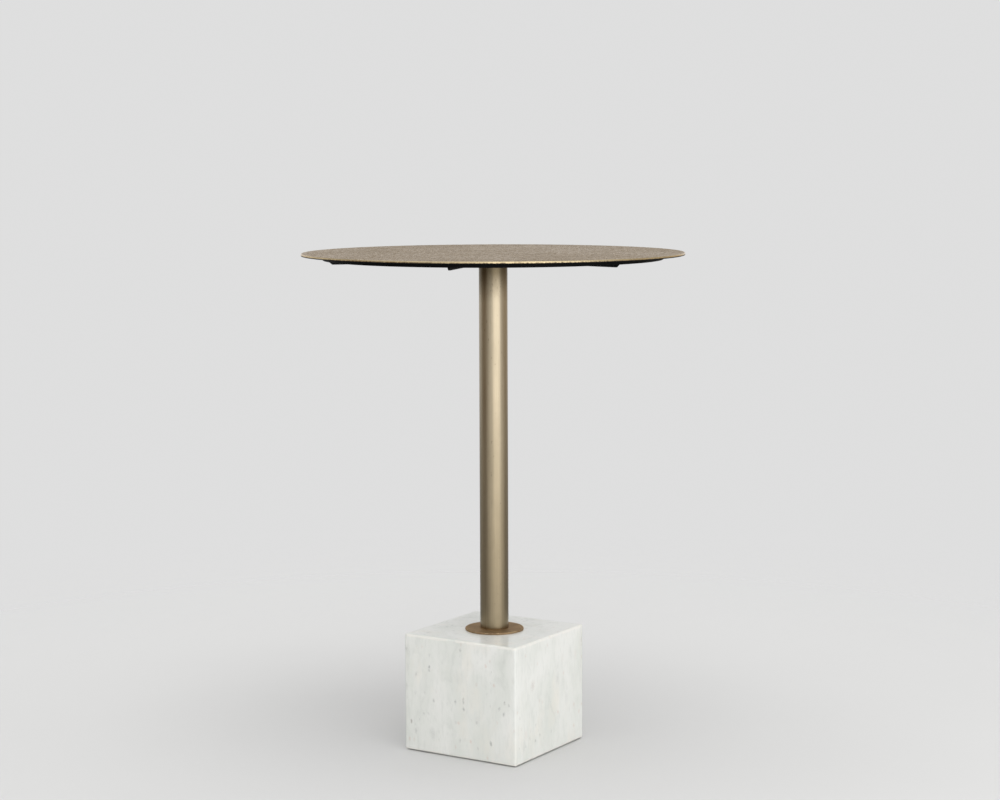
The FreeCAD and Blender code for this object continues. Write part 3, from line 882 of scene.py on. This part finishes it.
def makeStone(values):
    # One skin of loops: out from the bore over the top, down the sides, and in under the foot to the recess.
    low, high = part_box("marble_base")
    arris, fade, bore, recess = values["arris"], values["fade"], values["bore"], values["recess"]
    topBend, footBend = easedRows(0, arris, low.z, high.z, steps=5)
    rows = [
        ("round", bore, high.z, 0),
        ("round", values["ring"] * high.x, high.z, 0),
        ("inset", fade, high.z, 0),
        *topBend,
        ("square", arris, high.z - arris - fade, 0),
        ("square", arris, low.z + arris + fade, 0),
        *footBend,
        ("inset", fade, low.z, 0),
        ("round", recess + values["mouth"], low.z, 0),
        ("round", recess, low.z + values["mouth"], 0),
        ("round", recess, values["recessTop"], 0),
        ("round", bore, values["recessTop"], 0),
    ]
    block = squareBody(high.x, arris, rows, sideSteps=12, closed=True)
    makePiece("marble_block", [block], [marble], ["marble_base"])


def makePads(values):
    # A pad is a square plate, closed at a pole in the middle of its top and of its foot.
    ease, corner = values["ease"], values["corner"]
    for place in range(1, values["count"] + 1):
        name, solid = f"rubber_pad_{place}", f"foot_pad_{place}"
        squarePlate(name, solid, corner, ease, 0, padRubber)


makeStone(stoneValues)
makePads(padValues)
print("foot ready")


# Bolts, washers and the clamp under the stone

boltValues = {
    "circle": 0.060,
    "turn": 45,  # degrees
    "count": 4,
    "across": 0.013,
    "headHeight": 0.0053,
    "shank": 0.004,
    "tipEase": 0.0006,
    "washerEases": (0.0002, 0.0003, 0.0003, 0.0002),
}
clampValues = {
    "across": 0.024,
    "thread": 0.002,  # pitch
    "threadSteps": 8,  # rows to a pitch
    "threadDepth": 0.0012,
    "lowThread": 0.045,
    "highThread": 0.040,
    "endBevel": 0.0015,
    "springWidth": 0.005,
    "springSlit": 0.003,
    "springEase": 0.0004,
    "plateGap": 0.0005,  # between the rod and the clamp plate
    "plateCorner": 0.003,
    "plateEase": 0.0008,
}


def hexShell(across, low, high, bore, bevelHigh, spot=(0, 0), endFace=0.95, bevelSteps=5, bevelWear=0.6):
    # A hexagonal prism round a bore. The hexagon's radius is half its width over flats, divided by the cosine
    # of the angle to the nearest flat. At a bevelled end a cone limits it, which opens by sqrt(3) of the
    # distance from that end, so a turned chamfer's curved edges come out. The low end is always bevelled.
    turn = np.linspace(0, tau, 72, endpoint=False)
    outline = across / 2 / np.cos((turn + pi / 6) % (pi / 3) - pi / 6)
    start = across / 2 * endFace
    rise = (across / sqrt(3) - start) / sqrt(3)
    steps = np.linspace(0, 1, bevelSteps + 1) * rise
    rows = [(low, bore), *[(low + step, start + sqrt(3) * step) for step in steps]]
    rows += [(high - step, start + sqrt(3) * step if bevelHigh else np.inf) for step in steps[::-1]]
    rows += [(high, bore)]
    radius = np.stack([np.minimum(outline, limit) for z, limit in rows])
    x = spot[0] + radius * np.cos(turn)
    y = spot[1] + radius * np.sin(turn)
    z = np.broadcast_to(np.array([z for z, limit in rows])[:, None], x.shape)
    edge = np.where(np.abs(radius - outline) < 1e-9, 0.0, bevelWear)
    return gridSurface(np.stack([x, y, z], -1), edge, closeRows=True, closeColumns=True)


def makeBolts(values):
    # On every spot of the bolt circle stand a hexagonal head, a turned shank and a turned washer.
    low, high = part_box("top_bolts")
    washerLow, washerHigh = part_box("top_washers")
    thick, eases, headTop = values["shank"], values["washerEases"], low.z + values["headHeight"]
    turns = radians(values["turn"]) + np.arange(values["count"]) * tau / values["count"]
    places = [(values["circle"] * cos(turn), values["circle"] * sin(turn)) for turn in turns]
    reach = washerHigh.x - max(place[0] for place in places)
    shank = ringSection(0, thick, low.z, high.z, [0, 0, values["tipEase"], 0], steps=2, fade=0)[0]
    washer, worn = ringSection(thick, reach, washerLow.z, washerHigh.z, eases, steps=2, fade=0.0008)
    bolts, washers = [], []
    for place in places:
        bolts.append(hexShell(values["across"], low.z, headTop, thick, bevelHigh=False, spot=place))
        bolts.append(turned(shank, 0.0, columns=36, spot=place))
        washers.append(turned(washer, worn, columns=48, closed=True, spot=place))
    makePiece("hex_bolts", bolts, [zinc], ["top_bolts"], sharp=25)
    makePiece("bolt_washers", washers, [zinc], ["top_washers"])


def makeRod(values, columns=48):
    # The radius falls by the thread's depth along a zigzag of height over pitch less a turn, on both threaded
    # ends, and a cone cuts it at the tips.
    low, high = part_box("tie_rod")
    pitch = values["thread"]
    step = pitch / values["threadSteps"]
    lowRows = np.arange(low.z, low.z + values["lowThread"], step)
    highRows = np.arange(high.z - values["highThread"], high.z, step)
    z = np.concatenate([lowRows, highRows, [high.z]])[:, None]
    turn = np.linspace(0, tau, columns, endpoint=False)[None]
    zigzag = np.abs((z / pitch - turn / tau) % 1 - 0.5) * 2
    runOut = np.clip((low.z + values["lowThread"] - z) / pitch, 0, 1)
    runOut = np.maximum(runOut, np.clip((z - high.z + values["highThread"]) / pitch, 0, 1))
    fromTip = np.minimum(z - low.z, high.z - z)
    radius = high.x - values["threadDepth"] * zigzag * runOut
    radius = np.minimum(radius, high.x - values["endBevel"] + fromTip)
    points = np.stack([radius * np.cos(turn), radius * np.sin(turn), np.broadcast_to(z, radius.shape)], -1)
    rod = gridSurface(points, closeColumns=True, capped=True)
    makePiece("threaded_rod", [rod], [zinc], ["tie_rod"], sharp=70)


def makeClamp(values):
    # A hexagonal nut, a ring turned less a slit, and a square plate.
    low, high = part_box("clamp_nut")
    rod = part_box("tie_rod")[1].x
    nut = hexShell(values["across"], low.z, high.z, rod, bevelHigh=True)
    makePiece("hex_nut", [nut], [zinc], ["clamp_nut"], sharp=25)
    radius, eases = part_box("spring_washer")[1].x, [values["springEase"]] * 4
    inside, slit = radius - values["springWidth"], values["springSlit"] / radius
    ringPiece("split_washer", "spring_washer", inside, eases, 73, zinc, "zinc", 2, 0.001, slit)
    corner, ease, hole = values["plateCorner"], values["plateEase"], rod + values["plateGap"]
    squarePlate("clamp_square", "clamp_plate", corner, ease, hole, zinc)


makeBolts(boltValues)
makeRod(clampValues)
makeClamp(clampValues)
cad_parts["column_boss"].data.materials.clear()
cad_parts["column_boss"].data.materials.append(zinc)
print("fasteners ready")


# Floor, light and camera

lightSide = (0.76, -0.63, 0.16)  # where most of the light comes from
lampAim = (0.0, 0.0, 0.45)
floorValues = {
    "plain": {"Roughness": 0.6, "Specular IOR Level": 0.2},
    "radius": 14.0,
    "fade": (2.6, 9.0),  # the floor gives way to the backdrop between these radii
    "seenFade": (0.8, 2.7),  # and sooner where it is seen directly
    "opening": 0.126,  # half the square left open under the block, so that light reaches its foot
    "tones": (tone(0.61, 0.61, 0.606), tone(0.635, 0.635, 0.631)),
    "cloud": (1.3, 4.0),
    "paintedReflection": (grey(0.28), grey(1.0)),  # painted reflection of the floor in metal: dark away from the light, a painted pool of light towards it
    "towards": (0.2, 1.6),
}
lampValues = {
    "key": {"place": (2.88, -1.80, 0.63), "size": (3.8, 0.86), "power": 19.0},
    "fill": {"place": (2.88, -1.80, 1.80), "size": (3.8, 1.40), "power": 14.5},
}
worldValues = {
    "backdrop": grey(0.735),
    "wall": grey(0.85),
    "bands": [(grey(0.50), 0.16, 0.40), (grey(1.40), 0.60, 0.86)],  # tone, heights of its start and full
    "zones": [  # tone, side, cosines where it starts and is full, share above the horizon
        (grey(1.25), lightSide, 0.40, 1.0, 0.2),
        (tone(0.255, 0.165, 0.075), (-0.669, -0.743, 0.0), 0.76, 0.96, 0.3),
        (tone(0.61, 0.52, 0.41), (0.643, 0.766, 0.0), 0.60, 0.97, 0.3),
        (grey(3.20), (0.25, -0.20, 0.95), 0.90, 0.97, 1.0),
    ],
    "horizon": (0.0, 0.14),
}
cameraValues = {
    "place": (2.47839, -3.90952, 1.25997),
    "turn": 32.206,  # degrees
    "dip": 6.412,
    "roll": -0.196,
    "lens": 79.77,
}


def makeFloor(values, columns=96):
    # A disc, clear from below, under the block and beyond its fades. Metal mirrors it as a painted
    # reflection: dark away from the light, with a painted pool of light towards it.
    material, tree, shader = startMaterial("pale floor", values["plain"])
    place = node(tree, "TexCoord").outputs["Object"]
    colour = mixTones(tree, noise(tree, place, *values["cloud"]), *values["tones"])
    # painted reflection: a pool of light in the mirrored floor towards the lamps, dark away from them
    towards = remap(tree, vectorCalc(tree, "DOT_PRODUCT", place, lightSide), *values["towards"])
    paintedReflection = mixTones(tree, towards, *values["paintedReflection"])
    rays = node(tree, "LightPath").outputs
    tree.links.new(mixTones(tree, rays["Is Glossy Ray"], colour, paintedReflection), shader.inputs["Base Color"])
    radius = vectorCalc(tree, "LENGTH", place)
    seenFade = calc(tree, "MULTIPLY", remap(tree, radius, *values["seenFade"]), rays["Is Camera Ray"])
    fade = calc(tree, "MAXIMUM", remap(tree, radius, *values["fade"]), seenFade)
    across = node(tree, "SeparateXYZ", {0: place}).outputs
    across = calc(tree, "MAXIMUM", calc(tree, "ABSOLUTE", across["X"]), calc(tree, "ABSOLUTE", across["Y"]))
    clear = calc(tree, "MAXIMUM", node(tree, "NewGeometry").outputs["Backfacing"], fade)
    clear = calc(tree, "MAXIMUM", clear, calc(tree, "LESS_THAN", across, values["opening"]))
    wires = {0: clear, 1: shader.outputs[0], 2: node(tree, "BsdfTransparent").outputs[0]}
    tree.links.new(node(tree, "MixShader", wires).outputs[0], tree.nodes["Material Output"].inputs["Surface"])
    turn = np.linspace(0, tau, columns, endpoint=False)
    ring = np.stack([np.cos(turn), np.sin(turn), np.zeros_like(turn)], -1) * values["radius"]
    mesh = bpy.data.meshes.new("floor")
    mesh.from_pydata(ring.tolist(), [], [list(range(len(ring)))])
    mesh.materials.append(material)
    floor = placed("floor", mesh)


def makeLight(name, place, size, power):
    lamp = bpy.data.lights.new(name, "AREA")
    lamp.shape = "RECTANGLE"
    lamp.size, lamp.size_y = size
    lamp.energy = power
    light = placed(name, lamp)
    light.location = place
    light.visible_camera = False
    light.rotation_euler = (Vector(lampAim) - Vector(place)).to_track_quat("-Z", "Y").to_euler()


def makeWorld(values):
    # Bands of tone follow one another up the sky, and each zone lies about the direction of its side.
    world = bpy.data.worlds.new("soft studio")
    bpy.context.scene.world = world
    world.use_nodes = True
    tree = world.node_tree
    direction = node(tree, "TexCoord").outputs["Generated"]
    height = node(tree, "SeparateXYZ", {0: direction}).outputs["Z"]
    around = values["wall"]
    for bandTone, start, full in values["bands"]:
        around = mixTones(tree, remap(tree, height, start, full), around, bandTone)
    for zoneTone, side, start, full, above in values["zones"]:
        facing = remap(tree, vectorCalc(tree, "DOT_PRODUCT", direction, side), start, full)
        kept = remap(tree, height, *values["horizon"], 1.0, above)
        around = mixTones(tree, calc(tree, "MULTIPLY", facing, kept), around, zoneTone)
    seen = node(tree, "LightPath").outputs["Is Camera Ray"]
    seenTone = mixTones(tree, seen, around, values["backdrop"])
    tree.links.new(seenTone, tree.nodes["Background"].inputs["Color"])


def makeCamera(values):
    lens = bpy.data.cameras.new("camera")
    lens.lens = values["lens"]
    camera = placed("camera", lens)
    turn = Matrix.Rotation(radians(values["turn"]), 4, "Z")
    dip = Matrix.Rotation(radians(90 - values["dip"]), 4, "X")
    roll = Matrix.Rotation(radians(values["roll"]), 4, "Z")
    camera.matrix_world = Matrix.Translation(values["place"]) @ turn @ dip @ roll
    bpy.context.scene.camera = camera


makeFloor(floorValues)
for name, lamp in lampValues.items():
    makeLight(name, **lamp)
makeWorld(worldValues)
makeCamera(cameraValues)
bpy.context.scene.view_settings.view_transform = "Standard"
print("stage ready")
